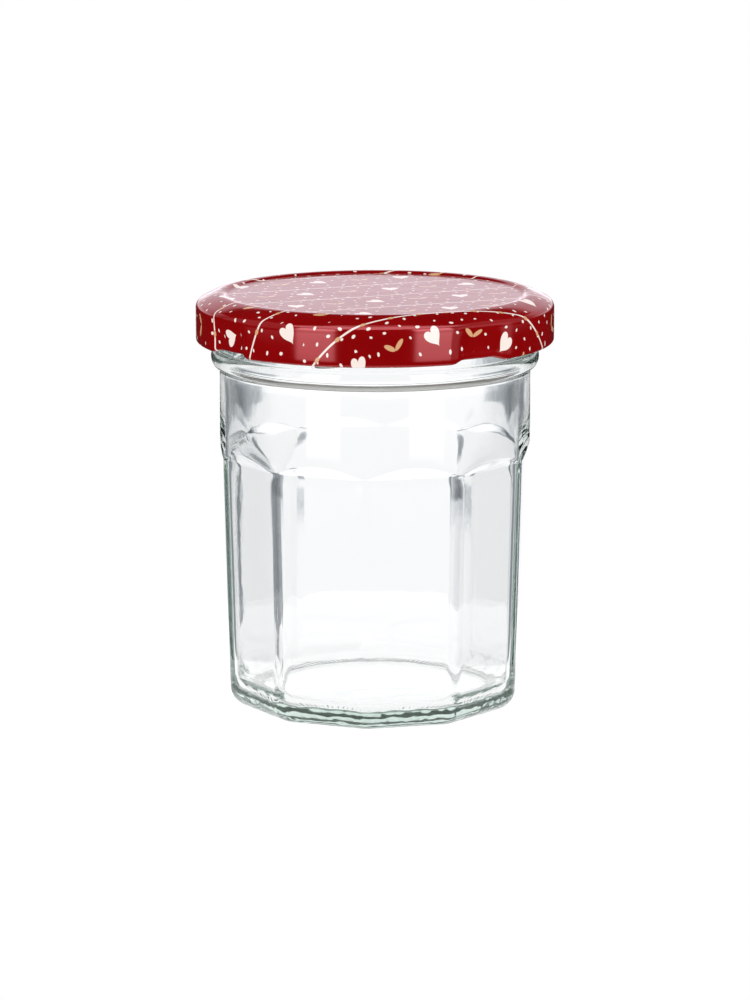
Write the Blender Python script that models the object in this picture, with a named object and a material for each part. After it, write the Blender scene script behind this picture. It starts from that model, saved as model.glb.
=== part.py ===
"""Ten-sided jam jar of clear glass, closed with a pressed tin twist-off lid.

Two closed solids share one frame: the hollow glass and the lid that sits on
its rim. The origin is the centre of the base, on the surface that the jar
stands on. +Z is up and lengths are metres. Angles round the axis are counted
from the front of the jar (-Y) towards its right (+X).
"""
import math

import bmesh
import bpy

MM = 0.001

# Driving dimensions: the lid
LID_RADIUS = 42.5 * MM
LID_FOOT = 87.4 * MM
LID_CREST = 99.0 * MM
CREST_RADIUS = 36.9 * MM
PANEL_RADIUS = 34.9 * MM
PANEL_DEPTH = 0.6 * MM
SHEET = 0.45 * MM
CURL_RADIUS = 0.95 * MM
SHOULDER_RADIUS = 1.9 * MM
SHOULDER_TOP = 97.5 * MM
PANEL_CORNER = 0.35 * MM
PANEL_CORNER_RISE = 0.3 * MM
CREST_LEAD = 0.9 * MM
CREST_EASE = 0.08 * MM
RING_WIDTH = 2.0 * MM
RING_DROP = 0.45 * MM
LINING_OUTER = 0.9 * MM
LINING_INNER = 0.2 * MM
LINING_LEAN = 0.6 * MM
LUG_COUNT = 4
FIRST_LUG = math.radians(35.5)
LUG_FULL = math.radians(5.5)
LUG_FADE = math.radians(5.0)
LUG_PRESS = 1.2 * MM
LUG_LIFT = 0.6 * MM
LUG_REACH = 1.0 * MM
LUG_HALF_THICKNESS = 0.55 * MM
LID_COLUMNS = 120

# Driving dimensions: the glass
SIDES = 10
FIRST_RIDGE = math.radians(-3.6)
BODY_RADIUS = 36.95 * MM
WALL = 2.5 * MM
FLAT_TOP = 35.35 * MM
FLAT_FOOT = 34.0 * MM
RIDGE_ROUNDING = 4.5 * MM
INNER_ROUNDING = 5.0 * MM
HEEL = 5.3 * MM
RIDGE_TOP = 60.3 * MM
RUN_OUT_SLOPE = 1.85
INNER_RUN_OUT_SLOPE = 3.6
CUSP_GAP = 0.4 * MM
BEAD_RADIUS = 38.96 * MM
BEAD_FOOT = 81.3 * MM
BEAD_MIDDLE = 84.0 * MM
BEAD_TOP = 85.9 * MM
BEAD_FULLNESS = 0.9
BEAD_EASE = 0.25 * MM
BEAD_EASE_AT = 0.62
NECK_RADIUS = 37.9 * MM
RIM_TOP = 97.0 * MM
RIM_ROUNDING = 1.3 * MM
MOUTH_RADIUS = 34.2 * MM
MOUTH_TAPER = 3.0 * MM
INNER_RADIUS = BODY_RADIUS - WALL
FLOOR_EDGE = 4.0 * MM
FLOOR_SLOPE_RADIUS = 22.0 * MM
FLOOR_SLOPE = 4.12 * MM
FLOOR_CROWN_RADIUS = 12.0 * MM
FLOOR_CROWN = 4.35 * MM
INNER_HEEL = 5.0 * MM
PUSH_UP_RADIUS = 26.0 * MM
PUSH_UP = 0.5 * MM
BEARING_INNER = 26.8 * MM
THREAD_HEIGHT = 1.3 * MM
THREAD_HALF_WIDTH = 1.15 * MM
THREAD_START = math.radians(-24.0)
THREAD_SWEEP = math.radians(76.0)
THREAD_LOW = 87.1 * MM
THREAD_HIGH = 93.8 * MM
THREAD_END = 0.12
GAP = 0.3 * MM
SHARP_FROM = math.radians(32.0)

HALF_SIDE = math.pi / SIDES
LUG_STEP = 2.0 * math.pi / LUG_COUNT
SIDE_COLUMNS = [math.radians(a) for a in (0.0, 2.2, 7.0, 12.5, 18.0, 23.5, 29.0, 33.8)]

GLASS_COLOUR = (0.84, 0.89, 0.87, 1.0)
RED_TIN = (0.22, 0.002, 0.004, 1.0)


def clear_scene():
    """Remove whatever the file holds before the model is made."""
    for thing in list(bpy.data.objects):
        bpy.data.objects.remove(thing, do_unlink=True)


def smooth(t):
    """An ease from 0 to 1 with level ends."""
    t = min(max(t, 0.0), 1.0)
    return t * t * (3.0 - 2.0 * t)


def blend(a, b, t):
    return a + (b - a) * t


def arc(centre, radius, start, end, steps):
    """Points (r, z) along an arc in the turning plane, angles in degrees."""
    points = []
    for step in range(steps + 1):
        angle = math.radians(blend(start, end, step / steps))
        points.append((centre[0] + radius * math.cos(angle), centre[1] + radius * math.sin(angle)))
    return points


def place(radius, z, phi):
    """A point at an angle phi from the front."""
    return (radius * math.sin(phi), -radius * math.cos(phi), z)


def skin(name, rings, material):
    """One closed body from rings of points, capped at its first and last ring."""
    mesh = bpy.data.meshes.new(name)
    bm = bmesh.new()
    loops = [[bm.verts.new(point) for point in ring] for ring in rings]
    count = len(rings[0])
    for lower, upper in zip(loops, loops[1:]):
        for i in range(count):
            j = (i + 1) % count
            bm.faces.new((lower[i], lower[j], upper[j], upper[i]))
    for loop in (loops[0], loops[-1]):
        centre = bm.verts.new((0.0, 0.0, sum(vert.co.z for vert in loop) / count))
        for i in range(count):
            bm.faces.new((centre, loop[i], loop[(i + 1) % count]))
    bmesh.ops.recalc_face_normals(bm, faces=bm.faces)
    bm.to_mesh(mesh)
    bm.free()
    mesh.shade_smooth()
    mesh.set_sharp_from_angle(angle=SHARP_FROM)
    mesh.materials.append(material)
    body = bpy.data.objects.new(name, mesh)
    bpy.context.scene.collection.objects.link(body)
    return body


def principled(name, colour, roughness, metallic):
    material = bpy.data.materials.new(name)
    material.use_nodes = True
    shader = material.node_tree.nodes["Principled BSDF"]
    shader.inputs["Base Color"].default_value = colour
    shader.inputs["Roughness"].default_value = roughness
    shader.inputs["Metallic"].default_value = metallic
    return material


def clear_glass():
    material = principled("clear_glass", GLASS_COLOUR, 0.02, 0.0)
    material.node_tree.nodes["Principled BSDF"].inputs["Transmission Weight"].default_value = 1.0
    return material


def side_angle(phi):
    """Angle from the middle of the side that phi falls on."""
    turned = (phi - FIRST_RIDGE) % (2.0 * HALF_SIDE)
    return turned - HALF_SIDE


def decagon_radius(apothem, psi, rounding):
    """Distance from the axis to a ten-sided outline with rounded corners."""
    psi = abs(psi)
    straight = (apothem - rounding) * math.tan(HALF_SIDE)
    if apothem * math.tan(psi) <= straight:
        return apothem / math.cos(psi)
    corner = (apothem - rounding) / math.cos(HALF_SIDE)
    offset = corner * math.sin(HALF_SIDE - psi)
    return corner * math.cos(HALF_SIDE - psi) + math.sqrt(rounding ** 2 - offset ** 2)


def flat_distance(z):
    """Distance of the flats from the axis, which tapers towards the base."""
    return blend(FLAT_FOOT, FLAT_TOP, (z - HEEL) / (RIDGE_TOP - HEEL))


def ring_of(columns, point):
    """A ring whose radius and height come from a rule for each angle."""
    ring = []
    for phi in columns:
        radius, z = point(phi)
        ring.append(place(radius, z, phi))
    return ring


def round_ring(columns, radius, z):
    return ring_of(columns, lambda phi: (radius, z))


def flat_ring(columns, apothem, z, rounding):
    return ring_of(columns, lambda phi: (decagon_radius(apothem, side_angle(phi), rounding), z))


def run_out_ring(columns, t, inset, rounding, slope):
    """One ring of the inclined surface that carries a flat out into the round neck.

    It leaves the flat along a level line at the ridge tops and meets the
    cylinder along an arch, higher where the flat is deeper. t runs from 0 on
    the level line to 1 on the arch.
    """
    def point(phi):
        flat = decagon_radius(flat_distance(RIDGE_TOP) - inset, side_angle(phi), rounding)
        neck = BODY_RADIUS - inset
        rise = max((neck - flat) * slope, CUSP_GAP)
        return blend(flat, neck, t), RIDGE_TOP + rise * t
    return ring_of(columns, point)


def thread_ring(columns, place_in_width):
    """One ring along the four glass threads, which rise round the neck.

    place_in_width runs from -1, under the thread, to 1, above it. Between two
    threads the ring drops back to the next low end with no height on it.
    """
    def point(phi):
        turned = (phi - THREAD_START) % LUG_STEP
        along = turned / THREAD_SWEEP
        if along <= 1.0:
            middle = blend(THREAD_LOW, THREAD_HIGH, along)
            ends = smooth(along / THREAD_END) * smooth((1.0 - along) / THREAD_END)
        else:
            back = (turned - THREAD_SWEEP) / (LUG_STEP - THREAD_SWEEP)
            middle = blend(THREAD_HIGH, THREAD_LOW, back)
            ends = 0.0
        height = THREAD_HEIGHT * ends * math.cos(place_in_width * math.pi / 2.0)
        return NECK_RADIUS + height, middle + THREAD_HALF_WIDTH * place_in_width
    return ring_of(columns, point)


def jar():
    """The glass: push-up base, ten flats, arches, bead, threads and hollow with a nearly flat floor."""
    columns = []
    for side in range(SIDES):
        for step in SIDE_COLUMNS:
            columns.append(FIRST_RIDGE + side * 2.0 * HALF_SIDE + step)
    rings = [round_ring(columns, PUSH_UP_RADIUS, PUSH_UP)]
    rings.append(round_ring(columns, BEARING_INNER, 0.0))
    for apothem, z in arc((FLAT_FOOT - HEEL, HEEL), HEEL, -90.0, 0.0, 5):
        rings.append(flat_ring(columns, apothem, z, RIDGE_ROUNDING))
    for share in (0.33, 0.67):
        z = blend(HEEL, RIDGE_TOP, share)
        rings.append(flat_ring(columns, flat_distance(z), z, RIDGE_ROUNDING))
    for t in (0.0, 0.5, 1.0):
        rings.append(run_out_ring(columns, t, 0.0, RIDGE_ROUNDING, RUN_OUT_SLOPE))
    rings.append(round_ring(columns, BODY_RADIUS, BEAD_FOOT))
    bead_height = BEAD_MIDDLE - BEAD_FOOT
    bead_depth = BEAD_RADIUS - BODY_RADIUS
    for angle in (55.0, 30.0, 0.0):
        turn = math.radians(angle)
        rings.append(round_ring(columns, BODY_RADIUS + bead_depth * math.cos(turn),
                                BEAD_MIDDLE - bead_height * math.sin(turn) * BEAD_FULLNESS))
    rings.append(round_ring(columns, BEAD_RADIUS - BEAD_EASE, blend(BEAD_MIDDLE, BEAD_TOP, BEAD_EASE_AT)))
    rings.append(round_ring(columns, NECK_RADIUS, BEAD_TOP))
    for width in (-1.0, -0.5, 0.0, 0.5, 1.0):
        rings.append(thread_ring(columns, width))
    for radius, z in arc((NECK_RADIUS - RIM_ROUNDING, RIM_TOP - RIM_ROUNDING), RIM_ROUNDING, 0.0, 90.0, 3):
        rings.append(round_ring(columns, radius, z))
    for radius, z in arc((MOUTH_RADIUS + RIM_ROUNDING, RIM_TOP - RIM_ROUNDING), RIM_ROUNDING, 90.0, 180.0, 3):
        rings.append(round_ring(columns, radius, z))
    rings.append(round_ring(columns, MOUTH_RADIUS, BEAD_FOOT))
    rings.append(round_ring(columns, INNER_RADIUS, BEAD_FOOT - MOUTH_TAPER))
    for t in (1.0, 0.67, 0.33, 0.0):
        rings.append(run_out_ring(columns, t, WALL, INNER_ROUNDING, INNER_RUN_OUT_SLOPE))
    inner_foot = FLOOR_EDGE + INNER_HEEL
    apothem_at_foot = flat_distance(inner_foot) - WALL
    for apothem, z in reversed(arc((apothem_at_foot - INNER_HEEL, inner_foot), INNER_HEEL, -90.0, 0.0, 4)):
        rings.append(flat_ring(columns, apothem, z, INNER_ROUNDING))
    rings.append(round_ring(columns, FLOOR_SLOPE_RADIUS, FLOOR_SLOPE))
    rings.append(round_ring(columns, FLOOR_CROWN_RADIUS, FLOOR_CROWN))
    return skin("jar", rings, clear_glass())


def lug_share(phi):
    """How far the skirt is pressed in at an angle: 1 on a lug, 0 between lugs."""
    turned = (phi - FIRST_LUG + LUG_STEP / 2.0) % LUG_STEP - LUG_STEP / 2.0
    return 1.0 - smooth((abs(turned) - LUG_FULL) / LUG_FADE)


def lid_ring(columns, radius, z, lug):
    """A ring of the lid. lug is 0 on the sheet and 1 on the inner half of the curl."""
    curl_height = LID_FOOT + CURL_RADIUS

    def point(phi):
        share = lug_share(phi)
        low = smooth((SHOULDER_TOP - z) / (SHOULDER_TOP - curl_height))
        height = z
        if lug:
            thin = LUG_HALF_THICKNESS / CURL_RADIUS
            height = curl_height + (z - curl_height) * blend(1.0, thin, share)
        inward = share * (LUG_PRESS * low + LUG_REACH * lug)
        return radius - inward, height + share * LUG_LIFT * low
    return ring_of(columns, point)


def lid():
    """The lid: sunk panel, raised ring, skirt, curl with four lugs, and lining."""
    columns = [2.0 * math.pi * i / LID_COLUMNS for i in range(LID_COLUMNS)]
    panel_top = LID_CREST - PANEL_DEPTH
    shoulder = (LID_RADIUS - SHOULDER_RADIUS, SHOULDER_TOP - SHOULDER_RADIUS)
    curl = (LID_RADIUS - CURL_RADIUS, LID_FOOT + CURL_RADIUS)
    lining_foot = RIM_TOP + GAP
    profile = [(PANEL_RADIUS * 0.5, panel_top, 0), (PANEL_RADIUS, panel_top, 0)]
    profile.append((PANEL_RADIUS + PANEL_CORNER, panel_top + PANEL_CORNER_RISE, 0))
    profile.append((CREST_RADIUS - CREST_LEAD, LID_CREST - CREST_EASE, 0))
    profile.append((CREST_RADIUS, LID_CREST, 0))
    profile.append((CREST_RADIUS + RING_WIDTH, LID_CREST - RING_DROP, 0))
    for radius, z in arc(shoulder, SHOULDER_RADIUS, 72.0, 0.0, 4):
        profile.append((radius, z, 0))
    for share in (0.25, 0.5, 0.75, 1.0):
        profile.append((LID_RADIUS, blend(shoulder[1], curl[1], share), 0))
    for radius, z in arc(curl, CURL_RADIUS, -45.0, -90.0, 1):
        profile.append((radius, z, 0))
    for radius, z in arc(curl, CURL_RADIUS, -135.0, -270.0, 3):
        profile.append((radius, z, 1))
    inner_skirt = LID_RADIUS - SHEET
    for share in (0.8, 0.5, 0.2):
        profile.append((inner_skirt, blend(shoulder[1], curl[1], share), 0))
    profile.append((LID_RADIUS - SHOULDER_RADIUS, SHOULDER_TOP - SHEET, 0))
    profile.append((NECK_RADIUS + LINING_OUTER, lining_foot, 0))
    profile.append((MOUTH_RADIUS + LINING_INNER, lining_foot, 0))
    profile.append((MOUTH_RADIUS + LINING_INNER - LINING_LEAN, panel_top - SHEET, 0))
    profile.append((PANEL_RADIUS * 0.5, panel_top - SHEET, 0))
    rings = [lid_ring(columns, radius, z, lug) for radius, z, lug in profile]
    return skin("lid", rings, principled("red_tin", RED_TIN, 0.18, 0.0))


clear_scene()
jar()
lid()
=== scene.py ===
# %% [markdown]
# # An empty jam jar with a red twist-off lid
#
# Two materials carry this lesson. Clear glass has no colour of its own to speak of: it is seen
# only by what it bends and mirrors, so its shape has to be exact and its surroundings planned.
# Lacquered tin is the other way round: a flat printed sheet that was pressed into a lid, so its
# pattern has to be drawn on the flat sheet and then carried over the edge with the metal.
#
# The CAD model is the fixed frame. It gives every size, and the pieces made here take its place.

# %% Load the frame
import math
from collections import namedtuple

import bmesh
import bpy
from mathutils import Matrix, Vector


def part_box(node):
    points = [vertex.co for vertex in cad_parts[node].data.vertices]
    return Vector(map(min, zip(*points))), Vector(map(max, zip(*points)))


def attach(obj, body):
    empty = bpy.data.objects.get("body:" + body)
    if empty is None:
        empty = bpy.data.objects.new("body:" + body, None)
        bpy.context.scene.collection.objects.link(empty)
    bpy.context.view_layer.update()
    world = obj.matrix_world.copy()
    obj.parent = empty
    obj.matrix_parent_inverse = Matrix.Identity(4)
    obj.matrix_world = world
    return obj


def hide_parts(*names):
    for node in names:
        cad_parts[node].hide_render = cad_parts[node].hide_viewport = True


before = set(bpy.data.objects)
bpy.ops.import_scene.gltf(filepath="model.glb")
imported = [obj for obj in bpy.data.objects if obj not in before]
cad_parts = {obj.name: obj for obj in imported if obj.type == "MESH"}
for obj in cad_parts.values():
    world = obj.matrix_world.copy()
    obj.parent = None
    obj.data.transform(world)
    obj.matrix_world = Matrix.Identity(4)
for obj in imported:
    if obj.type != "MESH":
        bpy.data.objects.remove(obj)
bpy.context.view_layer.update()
MM = 0.001
jar_low, jar_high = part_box("jar")
lid_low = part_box("lid")[0]
print("jar", [round(c / MM, 2) for c in jar_high - jar_low], "mm; lid from", round(lid_low.z / MM, 2))

# %% [markdown]
# ## The camera
#
# A long lens from about a metre away, looking down by eleven degrees. The lens is set from the
# picture: a long lens keeps the mouth of the jar and its base nearly the same shape, while a
# short one would open the lid up and close the base.

# %% Camera
LENS = 156.2
CAMERA_PLACE = Vector((0.0, -1.018, 0.2463))
CAMERA_DIP = math.radians(10.985)

camera_data = bpy.data.cameras.new("camera")
camera_data.lens = LENS
camera_data.sensor_width = 36.0
camera_data.clip_start = 0.05
camera = bpy.data.objects.new("camera", camera_data)
camera.location = CAMERA_PLACE
camera.rotation_euler = (math.radians(90.0) - CAMERA_DIP, 0.0, 0.0)
bpy.context.scene.collection.objects.link(camera)
bpy.context.scene.camera = camera
print("lens", LENS, "mm at", [round(c, 3) for c in CAMERA_PLACE])

# %% [markdown]
# ## Writing node trees as sums
#
# Both a shader and a Geometry Nodes tree can hold the Math node, so one small helper serves
# both. Each call adds one node and hands back its output, which lets a rule read almost as it
# would on paper: `n.add(a, n.times(b, c))`.


# %% The helper for node trees
class Nodes:
    """Adds nodes to one tree. A value in a call is a number or another node's output."""

    def __init__(self, tree):
        self.tree = tree

    def node(self, kind, **settings):
        made = self.tree.nodes.new(kind)
        count = len(self.tree.nodes)
        made.location = (190.0 * (count % 14), -190.0 * (count // 14))
        for name, value in settings.items():
            setattr(made, name, value)
        return made

    def feed(self, socket, value):
        if isinstance(value, bpy.types.NodeSocket):
            self.tree.links.new(value, socket)
        else:
            socket.default_value = value

    def call(self, kind, inputs, output=0, **settings):
        made = self.node(kind, **settings)
        for name, value in inputs.items():
            self.feed(made.inputs[name], value)
        return made.outputs[output]

    def math(self, operation, *values):
        made = self.node("ShaderNodeMath", operation=operation)
        for socket, value in zip(made.inputs, values):
            self.feed(socket, value)
        return made.outputs[0]

    def add(self, a, b):
        return self.math("ADD", a, b)

    def less(self, a, b):
        return self.math("SUBTRACT", a, b)

    def times(self, *values):
        total = values[0]
        for value in values[1:]:
            total = self.math("MULTIPLY", total, value)
        return total

    def over(self, a, b):
        return self.math("DIVIDE", a, b)

    def larger(self, a, b):
        return self.math("MAXIMUM", a, b)

    def smaller(self, a, b):
        return self.math("MINIMUM", a, b)

    def size(self, a):
        return self.math("ABSOLUTE", a)

    def length(self, a, b):
        return self.math("SQRT", self.add(self.times(a, a), self.times(b, b)))

    def blend(self, a, b, share):
        return self.add(a, self.times(self.less(b, a), share))

    def ramp(self, value, start, end):
        """An eased step: 0 at start, 1 at end, flat beyond both. start may be above end."""
        names = {"Value": value, "From Min": start, "From Max": end, "To Min": 0.0, "To Max": 1.0}
        return self.call("ShaderNodeMapRange", names, interpolation_type="SMOOTHSTEP")

    def band(self, value, low, high, edge):
        """1 between low and high, fading to 0 within edge outside them."""
        return self.times(self.ramp(value, low - edge, low), self.ramp(value, high + edge, high))


def new_group(name, kind, inputs, outputs):
    """A node group with named sockets, and its input and output nodes."""
    tree = bpy.data.node_groups.new(name, kind)
    for label, socket_kind, value in inputs:
        socket = tree.interface.new_socket(label, in_out="INPUT", socket_type=socket_kind)
        if value is not None:
            socket.default_value = value
    for label, socket_kind in outputs:
        tree.interface.new_socket(label, in_out="OUTPUT", socket_type=socket_kind)
    return tree, tree.nodes.new("NodeGroupInput"), tree.nodes.new("NodeGroupOutput")


# %% [markdown]
# ## The rule of the jar
#
# A moulded jar is a stack of rings. Low down each ring is ten-sided with rounded corners, higher
# up it is round, and one sloped face carries every flat out into the round neck. It leaves the
# flat on a level line and meets the neck on an arch, because the flat lies deepest in its middle.
#
# One could model one tenth by hand and array it, but then each change means a new mesh. Here
# every ring is one row of numbers, and Geometry Nodes turn the rows into glass.

# %% Sizes of the glass, the same as the CAD model's
SIDES = 10
FIRST_RIDGE = math.radians(-3.6)
BODY_RADIUS = 36.95
WALL = 2.5
FLAT_TOP = 35.35
FLAT_FOOT = 34.0
RIDGE_ROUNDING = 4.5
INNER_ROUNDING = 5.0
HEEL = 5.3
RIDGE_TOP = 60.3
BEAD_FOOT = 81.3
BEAD_MIDDLE = 84.0
BEAD_RADIUS = 38.96
BEAD_TOP = 85.9
NECK_RADIUS = 37.9
RIM_TOP = 97.0
RIM_ROUNDING = 1.3
MOUTH_RADIUS = 34.2
INNER_RADIUS = BODY_RADIUS - WALL
FLOOR_EDGE = 4.0
INNER_HEEL = 5.0

# A ring has a ten-sided outline (flat, corner) and a round one (radius), and roundness blends the
# two. slope tips it into the run-out, thread lets the threads swell on it, soft says how far its
# crease is blurred, and inner marks the inside of the glass.
Ring = namedtuple("Ring", "flat corner radius roundness z slope thread soft inner")


def ten_sided(flat, z, corner, soft=0.0, inner=0.0):
    return Ring(flat, corner, flat, 0.0, z, 0.0, 0.0, soft, inner)


def turned(radius, z, thread=0.0, soft=0.0, inner=0.0):
    return Ring(radius, 0.0, radius, 1.0, z, 0.0, thread, soft, inner)


def run_out(share, inset, corner, slope, soft, inner=0.0):
    """One ring of the sloped face, from 0 on its level line to 1 on its arch."""
    return Ring(FLAT_TOP - inset, corner, BODY_RADIUS - inset, share, RIDGE_TOP, slope, 0.0, soft, inner)


def flat_distance(z):
    """The flats lean in towards the base."""
    return FLAT_FOOT + (FLAT_TOP - FLAT_FOOT) * (z - HEEL) / (RIDGE_TOP - HEEL)


def arc(centre, radii, start, end, steps):
    """Points (r, z) on an ellipse's arc, angles in degrees."""
    for step in range(steps + 1):
        angle = math.radians(start + (end - start) * step / steps)
        yield centre[0] + radii[0] * math.cos(angle), centre[1] + radii[1] * math.sin(angle)


# %% The rings of the base and the flats, from the middle of the base outwards and up
PUSHED_UP = ((0.0, 0.5), (8.0, 0.5), (16.0, 0.5), (22.0, 0.495), (25.3, 0.47), (25.9, 0.41),
             (26.25, 0.28), (26.5, 0.13), (26.75, 0.03))
BEARING_RING = ((27.1, 0.0), (28.3, 0.0))
FLAT_HEIGHTS = (7.0, 10.0, 16.0, 24.0, 32.0, 40.0, 47.0, 52.0, 55.5, 57.5, 58.7, 59.5, 60.0)
RUN_OUT_STEPS = (0.0, 0.07, 0.15, 0.25, 0.36, 0.48, 0.6, 0.72, 0.82, 0.9, 0.96, 1.0)
HEEL_STEPS = 10
OUTER_SLOPE = 1.85
SOFT_FROM = 58.0

rings = [turned(radius, z) for radius, z in PUSHED_UP + BEARING_RING]
for flat, z in arc((FLAT_FOOT - HEEL, HEEL), (HEEL, HEEL), -90.0, 0.0, HEEL_STEPS):
    rings.append(ten_sided(flat, z, RIDGE_ROUNDING))
for z in FLAT_HEIGHTS:
    rings.append(ten_sided(flat_distance(z), z, RIDGE_ROUNDING, soft=float(z > SOFT_FROM)))
for share in RUN_OUT_STEPS:
    rings.append(run_out(share, 0.0, RIDGE_ROUNDING, OUTER_SLOPE, soft=1.0))
print(len(rings), "rings up to the tops of the flats")

# %% The rings of the neck, the bead, the threads and the rim
NECK_HEIGHTS = (63.8, 64.5, 65.6, 67.5, 71.0, 75.0, 78.5, 80.4, 81.0)
SOFT_TO = 65.0
BEAD_SOFT = 0.1
BEAD_SOFT_TO = 82.0
BEAD_FOOT_STEPS = 9
BEAD_CROWN_STEPS = 7
RIM_STEPS = 6
THREAD_RINGS = 29
THREAD_RING_STEP = 0.325

for z in NECK_HEIGHTS:
    rings.append(turned(BODY_RADIUS, z, soft=float(z < SOFT_TO)))
bead_foot = arc((BODY_RADIUS, BEAD_MIDDLE), (BEAD_RADIUS - BODY_RADIUS, BEAD_MIDDLE - BEAD_FOOT),
                -90.0, 0.0, BEAD_FOOT_STEPS)
for radius, z in bead_foot:
    rings.append(turned(radius, z, soft=BEAD_SOFT if z < BEAD_SOFT_TO else 0.0))
bead_crown = arc((NECK_RADIUS, BEAD_MIDDLE), (BEAD_RADIUS - NECK_RADIUS, BEAD_TOP - BEAD_MIDDLE),
                 0.0, 90.0, BEAD_CROWN_STEPS)
rings += [turned(radius, z) for radius, z in list(bead_crown)[1:]]
for step in range(1, THREAD_RINGS + 1):
    rings.append(turned(NECK_RADIUS, BEAD_TOP + step * THREAD_RING_STEP, thread=1.0))
rim_outside = arc((NECK_RADIUS - RIM_ROUNDING, RIM_TOP - RIM_ROUNDING), (RIM_ROUNDING,) * 2,
                  0.0, 90.0, RIM_STEPS)
rings += [turned(radius, z) for radius, z in rim_outside]
print(len(rings), "rings outside")

# %% The rings over the rim and down the inside
MOUTH_HEIGHTS = (92.0, 87.0, 83.5, 82.0)
MOUTH_STEP = ((0.02, 81.3), (0.1, 80.3), (0.2, 79.3))
INNER_NECK_HEIGHTS = (78.3, 76.0, 73.0, 70.0, 68.3, 67.2)
INNER_SOFT = 0.5
INNER_SOFT_TO = 69.0
INNER_SLOPE = 3.6
INNER_HEIGHTS = (60.0, 59.4, 58.4, 57.0, 54.0, 48.0, 40.0, 32.0, 25.0, 19.0, 15.0, 12.5, 10.6)
INNER_FOOT = FLOOR_EDGE + INNER_HEEL
INNER_HEEL_STEPS = 11
FLOOR_CROWN = ((25.4, 4.02), (23.5, 4.07), (20.0, 4.17), (15.0, 4.3), (10.0, 4.38), (5.0, 4.41), (0.0, 4.42))

rim_inside = arc((MOUTH_RADIUS + RIM_ROUNDING, RIM_TOP - RIM_ROUNDING), (RIM_ROUNDING,) * 2,
                 90.0, 180.0, RIM_STEPS)
rings += [turned(radius, z) for radius, z in rim_inside]
inner_neck = [(MOUTH_RADIUS, z) for z in MOUTH_HEIGHTS]
inner_neck += [(MOUTH_RADIUS + step, z) for step, z in MOUTH_STEP]
inner_neck += [(INNER_RADIUS, z) for z in INNER_NECK_HEIGHTS]
for radius, z in inner_neck:
    rings.append(turned(radius, z, soft=INNER_SOFT if z < INNER_SOFT_TO else 0.0, inner=1.0))
for share in reversed(RUN_OUT_STEPS):
    rings.append(run_out(share, WALL, INNER_ROUNDING, INNER_SLOPE, soft=1.0, inner=1.0))
for z in INNER_HEIGHTS:
    flat = flat_distance(z) - WALL
    rings.append(ten_sided(flat, z, INNER_ROUNDING, soft=float(z > SOFT_FROM), inner=1.0))
floor_flat = flat_distance(INNER_FOOT) - WALL - INNER_HEEL
for flat, z in arc((floor_flat, INNER_FOOT), (INNER_HEEL, INNER_HEEL), 0.0, -90.0, INNER_HEEL_STEPS):
    rings.append(ten_sided(flat, z, INNER_ROUNDING, inner=1.0))
rings += [turned(radius, z, inner=1.0) for radius, z in FLOOR_CROWN]
print(len(rings), "rings in all")

# %% The rings as a mesh of loose points that carry their numbers
IN_MM = ("flat", "corner", "radius", "z")
profile_mesh = bpy.data.meshes.new("jar_rings")
profile_mesh.from_pydata([(ring.radius * MM, 0.0, ring.z * MM) for ring in rings], [], [])
for name in Ring._fields:
    unit = MM if name in IN_MM else 1.0
    layer = profile_mesh.attributes.new(name, "FLOAT", "POINT")
    layer.data.foreach_set("value", [getattr(ring, name) * unit for ring in rings])
profile = bpy.data.objects.new("jar_rings", profile_mesh)
bpy.context.scene.collection.objects.link(profile)
print("each ring carries", ", ".join(Ring._fields))

# %% [markdown]
# ## Geometry Nodes turn rings into glass
#
# The tree starts from a flat grid: one line of points for each ring, one column for each angle.
# Every point asks the ring mesh for its row's numbers, works out its own distance from the axis,
# and moves there. Columns crowd towards the ridges, where the surface turns fastest.
#
# The four glass threads are a swelling of the neck that climbs with the angle, so they are part
# of the same rule. At the end a few rounds of blur take the hard edge off the creases, as the
# mould and the fire do.

# %% The inputs of the tree that forms the jar
JAR_INPUTS = (
    ("Sides", "NodeSocketInt", SIDES),
    ("Columns", "NodeSocketInt", 32),
    ("First Ridge", "NodeSocketFloat", FIRST_RIDGE),
    ("Crowding", "NodeSocketFloat", 1.35),
    ("Cusp", "NodeSocketFloat", 0.2 * MM),
    ("Thread Height", "NodeSocketFloat", 1.3 * MM),
    ("Thread Half Width", "NodeSocketFloat", 1.15 * MM),
    ("Thread Start", "NodeSocketFloat", math.radians(-24.0)),
    ("Thread Sweep", "NodeSocketFloat", math.radians(76.0)),
    ("Thread Low", "NodeSocketFloat", 87.1 * MM),
    ("Thread High", "NodeSocketFloat", 93.8 * MM),
    ("Softening", "NodeSocketInt", 6),
    ("Inner Softening", "NodeSocketInt", 20),
    ("Ring Count", "NodeSocketInt", len(rings)),
)
tree, source, result = new_group(
    "jar_from_rings", "GeometryNodeTree",
    (("Rings", "NodeSocketGeometry", None),) + JAR_INPUTS + (("Material", "NodeSocketMaterial", None),),
    (("Glass", "NodeSocketGeometry"),))
n = Nodes(tree)
given = source.outputs
print(len(JAR_INPUTS), "numbers set the jar's form")

# %% The grid, and what each point of it knows
half_side = n.over(math.pi, given["Sides"])
all_columns = n.add(n.times(given["Columns"], given["Sides"]), 1.0)
grid = n.call("GeometryNodeMeshGrid", {"Size X": 1.0, "Size Y": 1.0, "Vertices X": all_columns,
                                       "Vertices Y": given["Ring Count"]})
index = n.node("GeometryNodeInputIndex").outputs[0]

# Half a step is added before a number is rounded down, so that a whole one never falls short
column = n.math("FLOOR", n.over(n.add(index, 0.5), given["Ring Count"]))
row = n.less(index, n.times(column, given["Ring Count"]))


def stored(name):
    """A number that the points themselves carry."""
    return n.call("GeometryNodeInputNamedAttribute", {"Name": name}, data_type="FLOAT")


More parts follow.
